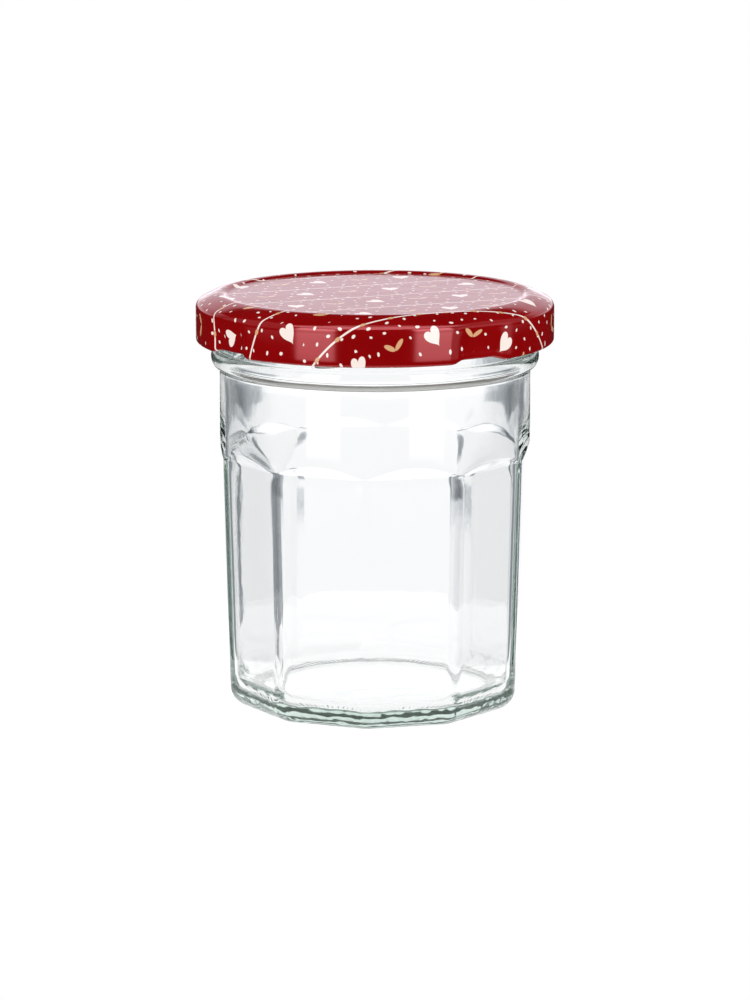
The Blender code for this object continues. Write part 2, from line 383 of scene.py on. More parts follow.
def from_ring(name):
    """The number that the point's own ring carries."""
    names = {"Geometry": given["Rings"], "Value": stored(name), "Index": row}
    return n.call("GeometryNodeSampleIndex", names, data_type="FLOAT", domain="POINT")


# Where the column stands: psi from the middle of its side, phi from the front of the jar
side = n.math("FLOOR", n.over(n.add(column, 0.5), given["Columns"]))
in_side = n.less(column, n.times(side, given["Columns"]))
across = n.less(n.over(n.times(2.0, in_side), given["Columns"]), 1.0)
crowded = n.less(1.0, n.math("POWER", n.less(1.0, n.size(across)), given["Crowding"]))
psi = n.times(half_side, crowded)
phi = n.add(given["First Ridge"], n.times(half_side, n.add(n.times(2.0, side), 1.0)))
phi = n.add(phi, n.times(psi, n.math("SIGN", across)))

# %% The distance from the axis, and the height
# The ten-sided outline with rounded corners
flat, corner = from_ring("flat"), from_ring("corner")
straight = n.times(n.less(flat, corner), n.math("TANGENT", half_side))
on_flat = n.over(flat, n.math("COSINE", psi))
hub = n.over(n.less(flat, corner), n.math("COSINE", half_side))
turn = n.less(half_side, psi)
offset = n.times(hub, n.math("SINE", turn))
reach = n.math("SQRT", n.larger(n.less(n.times(corner, corner), n.times(offset, offset)), 0.0))
on_corner = n.add(n.times(hub, n.math("COSINE", turn)), reach)
past = n.math("GREATER_THAN", n.times(flat, n.math("TANGENT", psi)), straight)
outline = n.blend(on_flat, on_corner, past)

# The sloped face climbs by as much as it has to travel outwards
roundness, ring_radius = from_ring("roundness"), from_ring("radius")
distance = n.blend(outline, ring_radius, roundness)
rise = n.times(from_ring("slope"), n.larger(n.less(ring_radius, outline), given["Cusp"]), roundness)
height = n.add(from_ring("z"), rise)

# Four threads, one to a quarter turn, thin at both ends
THREADS = 4
THREAD_END = 0.12
quarter = 2.0 * math.pi / THREADS
from_start = n.math("FLOORED_MODULO", n.less(phi, given["Thread Start"]), quarter)
along = n.over(from_start, given["Thread Sweep"])
middle = n.blend(given["Thread Low"], given["Thread High"], along)
ends = n.times(n.ramp(along, 0.0, THREAD_END), n.ramp(along, 1.0, 1.0 - THREAD_END))
away = n.smaller(n.size(n.over(n.less(height, middle), given["Thread Half Width"])), 1.0)
rounding = n.math("COSINE", n.times(away, math.pi / 2.0))
swell = n.times(given["Thread Height"], ends, rounding, from_ring("thread"))
distance = n.add(distance, swell)

# %% Place the points, close the seam and the poles, soften the creases
SAME_POINT = 1e-6
place = n.call("ShaderNodeCombineXYZ", {"X": n.times(distance, n.math("SINE", phi)),
                                        "Y": n.times(distance, n.math("COSINE", phi), -1.0), "Z": height})
shaped = grid
for name in ("soft", "inner"):
    shaped = n.call("GeometryNodeStoreNamedAttribute",
                    {"Geometry": shaped, "Name": name, "Value": from_ring(name)},
                    data_type="FLOAT", domain="POINT")
shaped = n.call("GeometryNodeSetPosition", {"Geometry": shaped, "Position": place})
shaped = n.call("GeometryNodeMergeByDistance", {"Geometry": shaped, "Distance": SAME_POINT})
here = n.node("GeometryNodeInputPosition").outputs[0]
softness = stored("soft")
for rounds, weight in (("Softening", softness), ("Inner Softening", n.times(softness, stored("inner")))):
    blurred = n.call("GeometryNodeBlurAttribute",
                     {"Value": here, "Iterations": given[rounds], "Weight": weight},
                     data_type="FLOAT_VECTOR")
    shaped = n.call("GeometryNodeSetPosition", {"Geometry": shaped, "Position": blurred})
shaped = n.call("GeometryNodeSetShadeSmooth", {"Geometry": shaped, "Shade Smooth": True})
shaped = n.call("GeometryNodeRealizeInstances", {"Geometry": shaped})
shaped = n.call("GeometryNodeSetMaterial", {"Geometry": shaped, "Material": given["Material"]})
n.feed(result.inputs["Glass"], shaped)
print(len(tree.nodes), "nodes form the jar")

# %% [markdown]
# ## A shared effect: surfaces that are never quite even
#
# Glass that cooled in a mould and lacquer that was rolled on tin both have slow waves and a
# finer unrest. One node group makes that relief for every material here, each with its own
# values. It works in metres on Object coordinates, so the relief has a true size.

# %% The group for uneven surfaces
uneven, source, result = new_group(
    "uneven_surface", "ShaderNodeTree",
    (("Position", "NodeSocketVector", None), ("Wave Size", "NodeSocketFloat", 0.012),
     ("Wave Depth", "NodeSocketFloat", 0.00003), ("Grain Size", "NodeSocketFloat", 0.0012),
     ("Grain Depth", "NodeSocketFloat", 0.000001), ("Stretch", "NodeSocketFloat", 1.0)),
    (("Height", "NodeSocketFloat"), ("Patches", "NodeSocketFloat")))
n = Nodes(uneven)
given = source.outputs
upright = n.call("ShaderNodeCombineXYZ", {"X": 1.0, "Y": 1.0, "Z": given["Stretch"]})
spot = n.call("ShaderNodeVectorMath", {0: given["Position"], 1: upright}, operation="MULTIPLY")


def noise(size, detail):
    return n.call("ShaderNodeTexNoise", {"Vector": spot, "Scale": n.over(1.0, size), "Detail": detail})


waves, grain = noise(given["Wave Size"], 1.0), noise(given["Grain Size"], 2.0)
wave_relief = n.times(n.less(waves, 0.5), given["Wave Depth"])
grain_relief = n.times(n.less(grain, 0.5), given["Grain Depth"])
n.feed(result.inputs["Height"], n.add(wave_relief, grain_relief))
n.feed(result.inputs["Patches"], waves)
print(len(uneven.nodes), "nodes make the relief")

# %% Helpers for materials
def new_material(name):
    """A material with its Principled shader, and the object's own coordinates."""
    material = bpy.data.materials.new(name)
    material.use_nodes = True
    n = Nodes(material.node_tree)
    shader = material.node_tree.nodes["Principled BSDF"]
    place = n.node("ShaderNodeTexCoord").outputs["Object"]
    return material, n, shader, place


def split(n, vector):
    """The X, Y and Z outputs of a vector or a colour."""
    made = n.node("ShaderNodeSeparateXYZ")
    n.feed(made.inputs[0], vector)
    return made.outputs


def add_waves(n, place, **values):
    """The uneven surface with its own values, as wave_size or grain_depth; returns its outputs."""
    group = n.node("ShaderNodeGroup", node_tree=uneven)
    n.feed(group.inputs["Position"], place)
    for name, value in values.items():
        n.feed(group.inputs[name.replace("_", " ").title()], value)
    return group.outputs


def add_relief(n, shader, height):
    """Feeds a height in metres to the shader as a bump."""
    bump = n.call("ShaderNodeBump", {"Height": height, "Strength": 1.0, "Distance": 1.0})
    n.feed(shader.inputs["Normal"], bump)


# %% [markdown]
# ## Clear glass
#
# The shader needs three things: full transmission, the index of soda-lime glass, and a faint
# green that only shows where light runs a long way through the wall. That green is absorption
# inside the body, so it goes to the volume and not to the surface colour.
#
# The inside of a blown jar is wavier than the outside, which touched the mould. The `inner`
# attribute that the rings carried makes the waves deeper there. Under the foot, a ring of fine
# radial ridges keeps a hot jar from sticking, and it is drawn as relief by the angle.

# %% The glass material
GLASS_INDEX = 1.52
GLASS_FACE = (0.996, 0.994, 1.0, 1.0)
GLASS_BODY = (0.42, 0.58, 0.51, 1.0)
GLASS_DENSITY = 17.0
OUTER_AND_INNER_WAVES = (0.00003, 0.00016)
OUTER_AND_INNER_GRAIN = (0.0000006, 0.000009)

glass, n, shader, place = new_material("clear_glass")
shader.inputs["Base Color"].default_value = GLASS_FACE
shader.inputs["Transmission Weight"].default_value = 1.0
shader.inputs["IOR"].default_value = GLASS_INDEX
inside = n.call("ShaderNodeAttribute", {}, output="Fac", attribute_name="inner")
glass_waves = add_waves(n, place, wave_size=0.011, grain_size=0.0016, stretch=0.45,
                        wave_depth=n.blend(*OUTER_AND_INNER_WAVES, inside),
                        grain_depth=n.blend(*OUTER_AND_INNER_GRAIN, inside))
n.feed(shader.inputs["Roughness"], n.blend(0.0, 0.02, glass_waves["Patches"]))
tint = n.call("ShaderNodeVolumeAbsorption", {"Color": GLASS_BODY, "Density": GLASS_DENSITY})
n.feed(n.tree.nodes["Material Output"].inputs["Volume"], tint)
print("glass with an index of", GLASS_INDEX)

# %% Waves round the heel, and the fine ridges under the foot
HEEL_TOP = (0.008, 0.003)
HEEL_REACH = (0.0262, 0.0285)
HEEL_WAVE_DEPTH = 0.0004
KNURL_BAND = (0.0266, 0.0294, 0.0006)
KNURL_TOP = (0.0016, 0.0006)
KNURLS = 150.0
KNURL_DEPTH = 0.00009

at = split(n, place)
from_axis = n.length(at["X"], at["Y"])
on_heel = n.times(n.ramp(at["Z"], *HEEL_TOP), n.ramp(from_axis, *HEEL_REACH))
heel_waves = add_waves(n, place, wave_size=0.0038, grain_depth=0.0,
                       wave_depth=n.times(on_heel, HEEL_WAVE_DEPTH))
under = n.times(n.band(from_axis, *KNURL_BAND), n.ramp(at["Z"], *KNURL_TOP))
angle = n.math("ARCTAN2", at["X"], at["Y"])
knurl = n.times(n.math("SINE", n.times(angle, KNURLS)), under, KNURL_DEPTH)
add_relief(n, shader, n.add(n.add(glass_waves["Height"], heel_waves["Height"]), knurl))
print(int(KNURLS), "ridges under the foot")

# %% Form the jar and make it a plain mesh
modifier = profile.modifiers.new("form", "NODES")
modifier.node_group = tree
wanted = {name: value for name, _, value in JAR_INPUTS}
wanted["Material"] = glass
for item in tree.interface.items_tree:
    if item.item_type == "SOCKET" and item.in_out == "INPUT" and item.name in wanted:
        modifier[item.identifier] = wanted[item.name]
profile.update_tag()
evaluated = profile.evaluated_get(bpy.context.evaluated_depsgraph_get())
jar_mesh = bpy.data.meshes.new_from_object(evaluated)
bpy.data.objects.remove(profile)
jar = bpy.data.objects.new("glass_jar", jar_mesh)
bpy.context.scene.collection.objects.link(jar)


def face_outwards(mesh):
    """Turns a closed mesh's normals outwards. Returns its volume and its number of open edges."""
    bm = bmesh.new()
    bm.from_mesh(mesh)
    bmesh.ops.recalc_face_normals(bm, faces=bm.faces)
    if bm.calc_volume(signed=True) < 0.0:
        bmesh.ops.reverse_faces(bm, faces=bm.faces)
    open_edges = sum(1 for edge in bm.edges if not edge.is_manifold)
    volume = bm.calc_volume(signed=True)
    bm.to_mesh(mesh)
    bm.free()
    return volume, open_edges


volume, open_edges = face_outwards(jar_mesh)
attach(jar, "root")
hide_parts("jar")
print(len(jar_mesh.polygons), "faces,", round(volume * 1e6, 1), "cubic centimetres,",
      open_edges, "open edges")

# %% [markdown]
# ## The lid as one pressed sheet
#
# A twist-off lid starts as a printed disc of tin. A press sinks the middle, raises a ring, folds
# the skirt down and rolls its edge inwards, then four places are squeezed in as lugs that catch
# the glass threads. So the lid is made as one open surface, from the middle of the panel to the
# end of the roll, and gets its thickness from a Solidify modifier.
#
# Each ring also keeps its distance from the centre on the flat sheet. Pressing keeps the area of
# the metal, so the sheet's distance is found by adding up area from ring to ring. That distance
# is the print's own map: a heart drawn round on the sheet leans and stretches over the edge.

# %% The profile of the pressed sheet
LID_RADIUS = 42.5
LID_FOOT = 87.4
LID_CREST = 99.0
CREST_RADIUS = 36.9
PANEL_TOP = 98.4
PANEL_RADII = (3.0, 9.0, 16.0, 23.0, 29.0, 32.5, 34.2)
PANEL_RISE = ((34.75, 98.42), (35.05, 98.48), (35.27, 98.59), (35.45, 98.71), (35.7, 98.84),
              (36.0, 98.93), (36.4, 98.98), (36.9, 99.0))
SHOULDER_RADIUS = 1.9
SHOULDER_TOP = 97.5
SHOULDER_START = 62.0
SHOULDER_STEPS = 9
CREST_STEPS = 9
SKIRT_STEPS = 11
CURL_RADIUS = 0.95
ROLL_STEPS = 22
ROLL_END = -285.0
SHEET = 0.25
curl_centre = (LID_RADIUS - CURL_RADIUS, LID_FOOT + CURL_RADIUS)
shoulder_centre = (LID_RADIUS - SHOULDER_RADIUS, SHOULDER_TOP - SHOULDER_RADIUS)

sheet_profile = [(r, PANEL_TOP, 0.0) for r in PANEL_RADII]
sheet_profile += [(r, z, 0.0) for r, z in PANEL_RISE]
shoulder = list(arc(shoulder_centre, (SHOULDER_RADIUS,) * 2, SHOULDER_START, 0.0, SHOULDER_STEPS))

# The raised ring falls off by a power of the way outwards, so that it meets the shoulder smoothly
drop = LID_CREST - shoulder[0][1]
width = shoulder[0][0] - CREST_RADIUS
ring_power = width / math.tan(math.radians(SHOULDER_START)) / drop
for step in range(1, CREST_STEPS):
    share = step / CREST_STEPS
    sheet_profile.append((CREST_RADIUS + width * share, LID_CREST - drop * share ** ring_power, 0.0))
sheet_profile += [(r, z, 0.0) for r, z in shoulder]
for step in range(1, SKIRT_STEPS):
    z = shoulder_centre[1] + (curl_centre[1] - shoulder_centre[1]) * step / SKIRT_STEPS
    sheet_profile.append((LID_RADIUS, z, 0.0))

# The rolled edge, which takes its share of a lug over the first half turn
for step in range(ROLL_STEPS + 1):
    angle = math.radians(ROLL_END * step / ROLL_STEPS)
    lug = 0.5 - 0.5 * math.cos(min(-angle, math.pi))
    sheet_profile.append((curl_centre[0] + CURL_RADIUS * math.cos(angle),
                          curl_centre[1] + CURL_RADIUS * math.sin(angle), lug))

# %% The same profile laid flat, ring by ring
sheet_distance = [sheet_profile[0][0]]
for (r0, z0, _), (r1, z1, _) in zip(sheet_profile, sheet_profile[1:]):
    strip = (r0 + r1) * math.hypot(r1 - r0, z1 - z0)
    sheet_distance.append(math.sqrt(sheet_distance[-1] ** 2 + strip))
print("the flat disc was", round(2.0 * sheet_distance[-1], 1), "mm across")

# %% The lugs, and the sheet as a mesh
FIRST_LUG = math.radians(35.5)
LUG_STEP = math.pi / 2.0
LUG_FULL = math.radians(5.5)
LUG_FADE = math.radians(5.0)
LUG_PRESS = 1.2
LUG_LIFT = 0.6
LUG_REACH = 1.0
LUG_THINNING = 0.42
LID_COLUMNS = 288
SHEET_MAP = 120.0


def eased(t):
    t = min(max(t, 0.0), 1.0)
    return t * t * (3.0 - 2.0 * t)


def lug_share(phi):
    """1 on a lug, 0 between lugs."""
    from_lug = abs((phi - FIRST_LUG + LUG_STEP / 2.0) % LUG_STEP - LUG_STEP / 2.0)
    return 1.0 - eased((from_lug - LUG_FULL) / LUG_FADE)


def pressed(phi, radius, z, lug):
    """A point of the sheet after the lugs are squeezed in."""
    share = lug_share(phi)
    low = eased((SHOULDER_TOP - z) / (SHOULDER_TOP - curl_centre[1]))
    height = z
    if lug > 0.0:
        height = curl_centre[1] + (z - curl_centre[1]) * (1.0 - LUG_THINNING * share * lug)
    inward = share * (LUG_PRESS * low + LUG_REACH * lug)
    return radius - inward, height + share * LUG_LIFT * low


def round_mesh(name, profile, columns, shape=None, middle=None, distances=None):
    """Turns a profile into a mesh: closed by a pole at the height middle, or as a ring without one.

    distances, if given, become the map of the flat sheet.
    """
    bm = bmesh.new()
    uv = bm.loops.layers.uv.new("sheet") if distances else None
    flat_place = {}
    loops = []
    for k, (radius, z, lug) in enumerate(profile):
        loop = []
        for i in range(columns):
            phi = 2.0 * math.pi * i / columns
            r, h = shape(phi, radius, z, lug) if shape else (radius, z)
            vert = bm.verts.new((r * MM * math.sin(phi), -r * MM * math.cos(phi), h * MM))
            if distances:
                flat_place[vert] = (0.5 + distances[k] * math.sin(phi) / SHEET_MAP,
                                    0.5 - distances[k] * math.cos(phi) / SHEET_MAP)
            loop.append(vert)
        loops.append(loop)
    if middle is not None:
        pole = bm.verts.new((0.0, 0.0, middle * MM))
        flat_place[pole] = (0.5, 0.5)
        for i in range(columns):
            bm.faces.new((pole, loops[0][i], loops[0][(i + 1) % columns]))
    pairs = list(zip(loops, loops[1:]))
    if middle is None:
        pairs.append((loops[-1], loops[0]))
    for inner_loop, outer_loop in pairs:
        for i in range(columns):
            j = (i + 1) % columns
            bm.faces.new((inner_loop[i], outer_loop[i], outer_loop[j], inner_loop[j]))
    if distances:
        for face in bm.faces:
            for corner in face.loops:
                corner[uv].uv = flat_place[corner.vert]
    mesh = bpy.data.meshes.new(name)
    bm.normal_update()
    bm.to_mesh(mesh)
    bm.free()
    mesh.shade_smooth()
    made = bpy.data.objects.new(name, mesh)
    bpy.context.scene.collection.objects.link(made)
    return made


lid = round_mesh("printed_lid", sheet_profile, LID_COLUMNS, pressed, PANEL_TOP, sheet_distance)
top_face = max(lid.data.polygons, key=lambda face: face.normal.z)
faces_up = top_face.normal.z > 0.9
print("panel faces up" if faces_up else "panel is upside down", len(lid.data.polygons), "faces")

# %% Thickness of the sheet
solidify = lid.modifiers.new("sheet", "SOLIDIFY")
solidify.thickness = SHEET * MM
solidify.offset = -1.0
solidify.material_offset = 1
solidify.material_offset_rim = 0
solidify.use_even_offset = True

# %% [markdown]
# ## The lining
#
# Under the raised ring lies a ring of soft sealing compound, which the rim of the glass presses
# into. It is flowed in as a paste, so its edges are round and its face is nearly flat.

# %% The sealing ring inside the lid
LINING_COLUMNS = 160
LINING_OUTLINE = ((33.95, 98.1), (34.0, 97.75), (34.3, 97.45), (34.9, 97.33), (36.5, 97.31),
                  (38.3, 97.33), (38.9, 97.5), (39.25, 97.78), (39.2, 97.98), (38.3, 98.38),
                  (37.6, 98.6), (36.9, 98.7), (36.3, 98.66), (35.85, 98.55), (35.55, 98.35),
                  (35.3, 98.18), (34.9, 98.12))
lining = round_mesh("sealing_ring", [(r, z, 0.0) for r, z in LINING_OUTLINE], LINING_COLUMNS)
volume, open_edges = face_outwards(lining.data)
print("sealing ring", round(volume * 1e6, 2), "cubic centimetres,", open_edges, "open edges")

# %% [markdown]
# ## The print
#
# The print is drawn in millimetres on the flat sheet: plain hearts, pairs of leaves, thin
# stripes and pin dots, each on a grid of its own. A grid cell is found by rounding, and what is
# left over is the place within the cell, where one distance sum decides what is inside the
# figure. One group with named inputs draws them all, so their sizes can be changed later.


# %% Helpers for figures on a grid
PRINT_EDGE = 0.05
HEART_LIFT = 0.62
HEART_PINCH = 1.25
HEART_SQUASH = 1.45


def cell_of(n, x, y, wide, tall):
    """Place within a brick-laid cell, in the same unit as x, and the cell's two numbers."""
    line = n.math("FLOOR", n.over(y, tall))
    odd = n.math("FLOORED_MODULO", line, 2.0)
    moved = n.add(x, n.times(odd, wide / 2.0))
    post = n.math("FLOOR", n.over(moved, wide))
    u = n.less(moved, n.times(n.add(post, 0.5), wide))
    v = n.less(y, n.times(n.add(line, 0.5), tall))
    return u, v, post, line


def rotated(n, x, y, angle):
    c, s = math.cos(angle), math.sin(angle)
    return n.add(n.times(x, c), n.times(y, s)), n.less(n.times(y, c), n.times(x, s))


def turned_by(n, x, y, angle):
    """The same turn, by an angle that changes from place to place."""
    c, s = n.math("COSINE", angle), n.math("SINE", angle)
    return n.add(n.times(x, c), n.times(y, s)), n.less(n.times(y, c), n.times(x, s))


def soft_edge(n, signed):
    """1 where the signed distance in mm is negative, over the narrow edge of the ink."""
    return n.ramp(signed, PRINT_EDGE, -PRINT_EDGE)


def heart_mask(n, x, y, size):
    """A plain heart: two round lobes on a point."""
    u, v = n.over(n.size(x), size), n.over(y, size)
    lift = n.less(v, n.times(HEART_LIFT, n.math("SQRT", u)))
    body = n.math("SQRT", n.add(n.times(u, u, HEART_PINCH), n.times(lift, lift, HEART_SQUASH)))
    return soft_edge(n, n.times(n.less(body, 0.5), size))


def oval_mask(n, x, y, long, short):
    reach = n.length(n.over(x, long), n.over(y, short))
    return soft_edge(n, n.times(n.less(reach, 1.0), short))


# %% The group that draws the figures
PRINT_TURN = math.radians(24.0)
print_group, source, result = new_group(
    "printed_figures", "ShaderNodeTree",
    (("Sheet", "NodeSocketVector", None), ("Heart Size", "NodeSocketFloat", 4.4),
     ("Leaf Length", "NodeSocketFloat", 1.5), ("Dot Radius", "NodeSocketFloat", 0.38),
     ("Stripe Width", "NodeSocketFloat", 0.45)),
    (("Cream", "NodeSocketFloat"), ("Tan", "NodeSocketFloat")))
n = Nodes(print_group)
given = source.outputs
on_sheet = split(n, given["Sheet"])
x, y = rotated(n, on_sheet["X"], on_sheet["Y"], PRINT_TURN)

# Hearts on a brick grid, every other one leaning the other way
HEART_WIDE, HEART_TALL = 21.0, 17.0
GRID_START = (4.0, 3.0)
LEANS = (math.radians(-18.0), math.radians(32.0))
u, v, post, line = cell_of(n, n.add(x, GRID_START[0]), n.add(y, GRID_START[1]), HEART_WIDE, HEART_TALL)
leaning_left, leaning_right = [heart_mask(n, *rotated(n, u, v, lean), given["Heart Size"]) for lean in LEANS]
odd = n.math("FLOORED_MODULO", n.add(post, line), 2.0)
hearts = n.blend(leaning_left, leaning_right, odd)
near_heart = n.length(u, v)

# A pair of leaves midway between hearts
LEAF_ANGLES = (math.radians(38.0), math.radians(142.0))
LEAF_OUT = 1.55
LEAF_HALF_WIDTH = 0.55
halfway = n.add(x, GRID_START[0] + HEART_WIDE / 2.0)
u, v, _, _ = cell_of(n, halfway, n.add(y, GRID_START[1]), HEART_WIDE, HEART_TALL)
leaves = 0.0
for leaf_angle in LEAF_ANGLES:
    a, b = rotated(n, u, v, leaf_angle)
    leaf = oval_mask(n, n.less(a, LEAF_OUT), b, given["Leaf Length"], LEAF_HALF_WIDTH)
    leaves = n.larger(leaves, leaf)
near_leaves = n.length(u, v)
print("hearts", HEART_WIDE, "mm apart in lines", HEART_TALL, "mm apart")

# %% Thin stripes, and pin dots that leave room for the figures
stripe_place = n.math("FLOORED_MODULO", n.add(y, GRID_START[1]), HEART_TALL)
stripe_place = n.less(HEART_TALL / 2.0, n.size(n.less(stripe_place, HEART_TALL / 2.0)))
stripes = soft_edge(n, n.less(stripe_place, n.times(given["Stripe Width"], 0.5)))

DOT_WIDE, DOT_TALL = 4.0, 3.3
DOT_DRIFT = 0.45
DOT_SIZES = (0.75, 1.15)
DOT_OVAL = (1.25, 0.85)
HEART_ROOM, LEAF_ROOM = 3.9, 3.6
u, v, post, line = cell_of(n, x, y, DOT_WIDE, DOT_TALL)
cell = n.call("ShaderNodeCombineXYZ", {"X": post, "Y": line, "Z": 0.0})
luck = n.call("ShaderNodeTexWhiteNoise", {"Vector": cell}, output="Color", noise_dimensions="3D")
luck = split(n, luck)
u = n.add(u, n.times(n.less(luck["X"], 0.5), DOT_DRIFT * DOT_WIDE))
v = n.add(v, n.times(n.less(luck["Y"], 0.5), DOT_DRIFT * DOT_TALL))
u, v = turned_by(n, u, v, n.times(luck["Z"], math.pi))
radius = n.times(given["Dot Radius"], n.blend(*DOT_SIZES, luck["Y"]))
dots = oval_mask(n, u, v, n.times(radius, DOT_OVAL[0]), n.times(radius, DOT_OVAL[1]))
clear = n.times(n.math("GREATER_THAN", near_heart, HEART_ROOM),
                n.math("GREATER_THAN", near_leaves, LEAF_ROOM))
cream = n.larger(hearts, n.times(n.larger(dots, stripes), clear))

# Small tan beads strung on the stripes
BEAD_STEP = 7.0
BEAD_START = 2.0
BEAD_OVAL = (0.75, 0.45)
bead_u = n.less(n.math("FLOORED_MODULO", n.add(x, BEAD_START), BEAD_STEP), BEAD_STEP / 2.0)
beads = n.times(oval_mask(n, bead_u, stripe_place, *BEAD_OVAL), clear)
n.feed(result.inputs["Cream"], n.times(cream, n.less(1.0, beads)))
n.feed(result.inputs["Tan"], n.larger(leaves, beads))
print(len(print_group.nodes), "nodes draw the print")

# %% [markdown]
# ## Lacquered tin
#
# The red is a wet-looking print under a clear varnish. A second clear layer isn't needed, because
# the shader's own gloss is enough: a low roughness with slow waves, so that reflections of the
# lamps bend a little, as they do on thin sheet. A grazing look turns the flat panel pale, and
# that comes from the shader by itself.

# %% The printed red lacquer
RED = (0.33, 0.0004, 0.0012, 1.0)
DEEP_RED = (0.24, 0.0003, 0.001, 1.0)
CREAM = (0.88, 0.76, 0.70, 1.0)
TAN = (0.66, 0.37, 0.19, 1.0)
METAL_SHARE = 0.2


def mixed_colour(n, share, low, high):
    made = n.node("ShaderNodeMix", data_type="RGBA")
    n.feed(made.inputs["Factor"], share)
    n.feed(made.inputs[6], low)
    n.feed(made.inputs[7], high)
    return made.outputs[2]


red_tin, n, shader, place = new_material("printed_tin")
sheet_uv = n.node("ShaderNodeUVMap", uv_map="sheet").outputs[0]
in_mm = n.call("ShaderNodeMapping", {"Vector": sheet_uv, "Scale": (SHEET_MAP, SHEET_MAP, 1.0),
                                     "Location": (-0.5 * SHEET_MAP, -0.5 * SHEET_MAP, 0.0)})
figures = n.node("ShaderNodeGroup", node_tree=print_group)
n.feed(figures.inputs["Sheet"], in_mm)
waves = add_waves(n, place, wave_size=0.009, wave_depth=0.00003, grain_size=0.0007, grain_depth=0.0000012)
ground = mixed_colour(n, waves["Patches"], DEEP_RED, RED)
with_tan = mixed_colour(n, figures.outputs["Tan"], ground, TAN)
with_cream = mixed_colour(n, figures.outputs["Cream"], with_tan, CREAM)
n.feed(shader.inputs["Base Color"], with_cream)
printed = n.larger(figures.outputs["Cream"], figures.outputs["Tan"])
n.feed(shader.inputs["Metallic"], n.times(METAL_SHARE, n.less(1.0, printed)))
n.feed(shader.inputs["Roughness"], n.blend(0.07, 0.15, waves["Patches"]))

# The skirt is rolled a little barrel-shaped: it leans back by some degrees towards its top
BARREL_FOOT, BARREL_TOP, BARREL_BEND = 0.0895, 0.0952, 7.0
from_foot = n.less(n.smaller(split(n, place)["Z"], BARREL_TOP), BARREL_FOOT)
barrel = n.times(from_foot, from_foot, -BARREL_BEND)
add_relief(n, shader, n.add(waves["Height"], barrel))
print(len(n.tree.nodes), "nodes in the lacquer")


# %% The pale enamel inside the lid, and the sealing compound
def plain_finish(name, low, high, roughness, **relief):
    """A matt finish between two colours and two values of roughness, with its own relief."""
    material, n, shader, place = new_material(name)
    waves = add_waves(n, place, **relief)
    n.feed(shader.inputs["Base Color"], mixed_colour(n, waves["Patches"], low, high))
    n.feed(shader.inputs["Roughness"], n.blend(*roughness, waves["Patches"]))
    add_relief(n, shader, waves["Height"])
    return material


ENAMEL = ((0.74, 0.72, 0.66, 1.0), (0.82, 0.8, 0.75, 1.0))
COMPOUND = ((0.78, 0.76, 0.7, 1.0), (0.86, 0.84, 0.8, 1.0))
enamel = plain_finish("inner_enamel", *ENAMEL, (0.25, 0.4))
compound = plain_finish("sealing_compound", *COMPOUND, (0.45, 0.6), wave_size=0.004, grain_depth=0.000004)
print("finishes", enamel.name, "and", compound.name)

# %% Hand the lid's pieces over to the frame
lid.data.materials.append(red_tin)
lid.data.materials.append(enamel)
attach(lid, "root")
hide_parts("lid")
lining.data.materials.append(compound)
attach(lining, "root")

# %% [markdown]
# ## The studio
#
# Glass on white needs something dark beside the white, or it vanishes. The backdrop straight
# behind the jar is white and narrow. Past its edges the room is dark, and the curved ends of the
# glass bend the view out to there and draw their own outline. That room is painted in the world
# shader by direction, so nothing stands in the way when the jar is seen from another side.
#
# What the glass shows and what the lacquer mirrors are two sums: behind the jar only narrow dark
# strips, in front of it two tall soft lamps in a dark room, and a weaker light on the right.

# %% The world, drawn by direction
DEGREES = 180.0 / math.pi
world = bpy.data.worlds.new("studio")
bpy.context.scene.world = world
world.use_nodes = True
n = Nodes(world.node_tree)
for old in list(world.node_tree.nodes):
    world.node_tree.nodes.remove(old)
toward = split(n, n.node("ShaderNodeTexCoord").outputs["Generated"])
azimuth = n.times(n.math("ARCTAN2", toward["X"], toward["Y"]), DEGREES)
aside = n.size(azimuth)
from_camera = n.less(180.0, aside)
elevation = n.times(n.math("ARCSINE", toward["Z"]), DEGREES)
path = n.node("ShaderNodeLightPath").outputs
through = path["Is Transmission Ray"]
print("world", world.name)

# %% [markdown]
# ## What shows through the glass
#
# A pale room with dark cards on each side of the backdrop. At the height of the neck they reach
# closer to the middle. Light that was mirrored inside the wall on its way comes from further
# round. Each edge below is an eased step from one direction to another, in degrees.

# %% The cards and the room behind the jar
NEAR_EDGE, NEAR_TOP, NEAR_SHADE = (4.8, 7.5), (-3.0, -6.0), 0.55
WIDE_EDGE, WIDE_SHADE, WIDE_LIMIT = (7.0, 16.0), 0.38, 0.93
NECK_FOOT = (-11.8, -10.4)
FLAT_EDGE, FLAT_FOOT_EDGE, FLAT_SHADES = (9.0, 20.0), (-15.5, -13.5), (0.3, 0.78)
CARD_END = (44.0, 36.0)
FAR_EDGE, FAR_END, FAR_SHADE = (19.0, 27.0), (95.0, 75.0), 0.72
CARD_TOP = (6.0, 0.0)
CEILING_EDGE, CEILING_SHADE = (26.0, 44.0), 0.45
LOW_LEVEL, MIDDLE_LEVEL, HIGH_LEVEL, DARK_LEVEL = 1.05, 1.14, 1.25, 0.03
MIDDLE_EDGE, HIGH_EDGE = (-8.6, -6.4), (-3.5, 0.0)

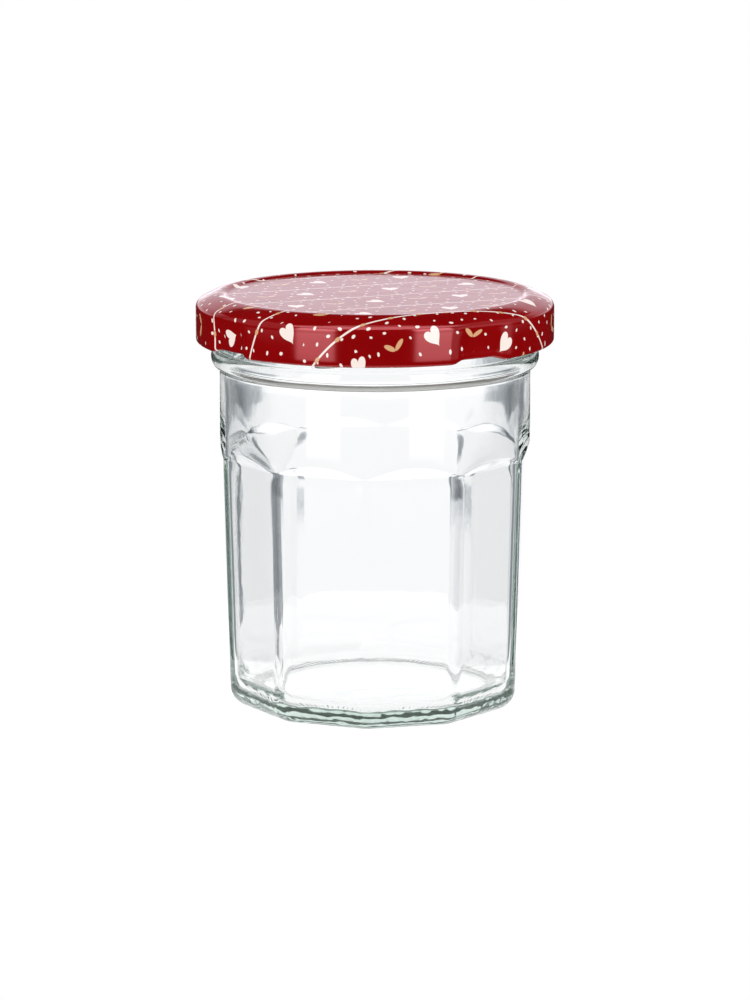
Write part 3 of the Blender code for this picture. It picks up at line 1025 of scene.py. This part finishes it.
near = n.times(n.ramp(aside, *NEAR_EDGE), n.ramp(elevation, *NEAR_TOP), NEAR_SHADE)
wide = n.ramp(aside, *WIDE_EDGE)
neck_card = n.larger(n.add(near, n.times(wide, WIDE_SHADE)), n.times(wide, WIDE_LIMIT))
neck_card = n.times(neck_card, n.ramp(elevation, *NECK_FOOT))
on_left = n.math("LESS_THAN", azimuth, 0.0)
flat_shade = n.blend(*FLAT_SHADES, on_left)
flat_card = n.times(n.ramp(aside, *FLAT_EDGE), n.ramp(elevation, *FLAT_FOOT_EDGE), flat_shade)
card = n.times(n.larger(neck_card, flat_card), n.ramp(aside, *CARD_END))
far_card = n.times(n.ramp(aside, *FAR_EDGE), n.ramp(aside, *FAR_END), FAR_SHADE)
once_mirrored = n.smaller(path["Glossy Depth"], 1.0)
darkness = n.times(n.blend(card, far_card, once_mirrored), n.ramp(elevation, *CARD_TOP))
ceiling = n.times(n.ramp(elevation, *CEILING_EDGE), CEILING_SHADE)
centre = n.blend(LOW_LEVEL, MIDDLE_LEVEL, n.ramp(elevation, *MIDDLE_EDGE))
centre = n.blend(centre, HIGH_LEVEL, n.ramp(elevation, *HIGH_EDGE))
seen_through = n.blend(centre, DARK_LEVEL, n.larger(darkness, ceiling))
print("cards from", NEAR_EDGE[0], "to", CARD_END[0], "degrees on each side")

# %% [markdown]
# ## What the lacquer mirrors
#
# The backdrop behind with a dark room above it, and the lamps in front. Each light is a patch of
# direction with soft edges: how far from the backdrop's middle or from the camera, how high, and
# how bright. The camera's own direction is 180 degrees from the backdrop's middle.

# %% The lights that are mirrored
BACKDROP_END, BACKDROP_BAND = (68.0, 45.0), (3.0, 27.0, 4.0)
BACKDROP_LEVELS, BACKDROP_FADE = (1.22, 0.87), (7.6, 9.0)
LOWER_END, LOWER_BAND = (11.0, 8.0), (-40.0, 3.0, 2.0)
LAMP_BAND, LAMP_TOP, LAMP_LEVELS, LAMP_FADE = (27.0, 50.0, 3.0), (35.0, 25.0), (2.6, 5.5), (-8.0, 16.0)
LIGHTS_FOOT = (-15.0, -8.0)
HIGH_LAMP_END, HIGH_LAMP_BAND, HIGH_LAMP_LEVEL = (75.0, 60.0), (38.0, 74.0, 4.0), 3.4
GLOW_BAND, GLOW_TOP, GLOW_LEVEL = (53.0, 95.0, 4.0), (20.0, 5.0), 0.6
SIDE_BAND, SIDE_HEIGHTS, SIDE_LEVEL = (60.0, 110.0, 8.0), (0.0, 50.0, 6.0), 0.4
OVERHEAD_EDGE, OVERHEAD_LEVEL = (72.0, 80.0), 1.2
ROOM_LEVEL = 0.015

backdrop = n.times(n.ramp(aside, *BACKDROP_END), n.band(elevation, *BACKDROP_BAND),
                   n.blend(*BACKDROP_LEVELS, n.ramp(elevation, *BACKDROP_FADE)))
lower_backdrop = n.times(n.ramp(aside, *LOWER_END), n.band(elevation, *LOWER_BAND))
above_foot = n.ramp(elevation, *LIGHTS_FOOT)
lamps = n.times(n.band(from_camera, *LAMP_BAND), above_foot, n.ramp(elevation, *LAMP_TOP),
                n.blend(*LAMP_LEVELS, n.ramp(elevation, *LAMP_FADE)))
high_lamp = n.times(n.ramp(from_camera, *HIGH_LAMP_END), n.band(elevation, *HIGH_LAMP_BAND),
                    HIGH_LAMP_LEVEL)
right_glow = n.times(n.band(from_camera, *GLOW_BAND), n.math("GREATER_THAN", azimuth, 0.0),
                     above_foot, n.ramp(elevation, *GLOW_TOP), GLOW_LEVEL)
sides = n.times(n.band(from_camera, *SIDE_BAND), n.band(elevation, *SIDE_HEIGHTS), SIDE_LEVEL)
overhead = n.times(n.ramp(elevation, *OVERHEAD_EDGE), OVERHEAD_LEVEL)
mirrored = ROOM_LEVEL
lights = (backdrop, lamps, sides, overhead, high_lamp, lower_backdrop, right_glow)
for light in lights:
    mirrored = n.add(mirrored, light)
print(len(lights), "lights in the reflections")

# %% One level for each kind of ray, and the light's colour
OPEN_LEVEL = 1.15
BLUISH_RED, BLUISH_GREEN = 0.2, 0.1
VIOLET_GREEN, VIOLET_BLUE = 0.035, 0.05

level = n.blend(OPEN_LEVEL, mirrored, path["Is Glossy Ray"])
level = n.blend(level, seen_through, through)
level = n.blend(level, 1.0, path["Is Camera Ray"])

# The lamps' light is a touch violet, and the dark cards are a bluish grey
violet = n.times(path["Is Glossy Ray"], n.less(1.0, through))
bluish = n.times(darkness, through)
light_colour = n.call("ShaderNodeCombineColor", {
    "Red": n.less(1.0, n.times(bluish, BLUISH_RED)),
    "Green": n.less(1.0, n.add(n.times(bluish, BLUISH_GREEN), n.times(violet, VIOLET_GREEN))),
    "Blue": n.add(1.0, n.times(violet, VIOLET_BLUE))})
shade = n.node("ShaderNodeBackground")
n.feed(shade.inputs["Strength"], level)
n.feed(shade.inputs["Color"], light_colour)
world.cycles.sampling_method = "NONE"
n.feed(n.node("ShaderNodeOutputWorld").inputs["Surface"], shade.outputs[0])
print(len(world.node_tree.nodes), "nodes paint the studio")

# %% [markdown]
# ## The floor
#
# A plain white oval of board, just under the jar. It gives off enough light to stay white round
# the foot, and it is small enough that the skirt of the lid mirrors the dark room past its edge.

# %% The floor
FLOOR_REACH = (0.075, 0.125)
FLOOR_GAP = 0.1 * MM
FLOOR_GREY = (0.12, 0.12, 0.12, 1.0)
FLOOR_GLOW = 0.98
bm = bmesh.new()
bmesh.ops.create_circle(bm, cap_ends=True, segments=96, radius=1.0)
for vert in bm.verts:
    vert.co = (vert.co.x * FLOOR_REACH[0], vert.co.y * FLOOR_REACH[1], -FLOOR_GAP)
floor_mesh = bpy.data.meshes.new("floor")
bm.to_mesh(floor_mesh)
bm.free()
floor = bpy.data.objects.new("floor", floor_mesh)
bpy.context.scene.collection.objects.link(floor)
board, n, shader, place = new_material("white_board")
shader.inputs["Base Color"].default_value = FLOOR_GREY
shader.inputs["Roughness"].default_value = 0.9
shader.inputs["Specular IOR Level"].default_value = 0.0
shader.inputs["Emission Color"].default_value = (1.0, 1.0, 1.0, 1.0)
shader.inputs["Emission Strength"].default_value = FLOOR_GLOW
floor_mesh.materials.append(board)
print("floor", [round(2.0 * reach / MM) for reach in FLOOR_REACH], "mm")

# %% [markdown]
# ## How light is followed
#
# A ray that crosses a jar meets four faces of glass, and many more where it runs along the wall.
# Each meeting is a bounce, so the limits are high, or the thick parts would turn black.

# %% View and bounces
BOUNCES = 40
GLASS_BOUNCES = 32
bpy.context.scene.view_settings.view_transform = "Standard"
cycles = bpy.context.scene.cycles
cycles.max_bounces = BOUNCES
cycles.glossy_bounces = GLASS_BOUNCES
cycles.transmission_bounces = GLASS_BOUNCES
print("up to", BOUNCES, "bounces")
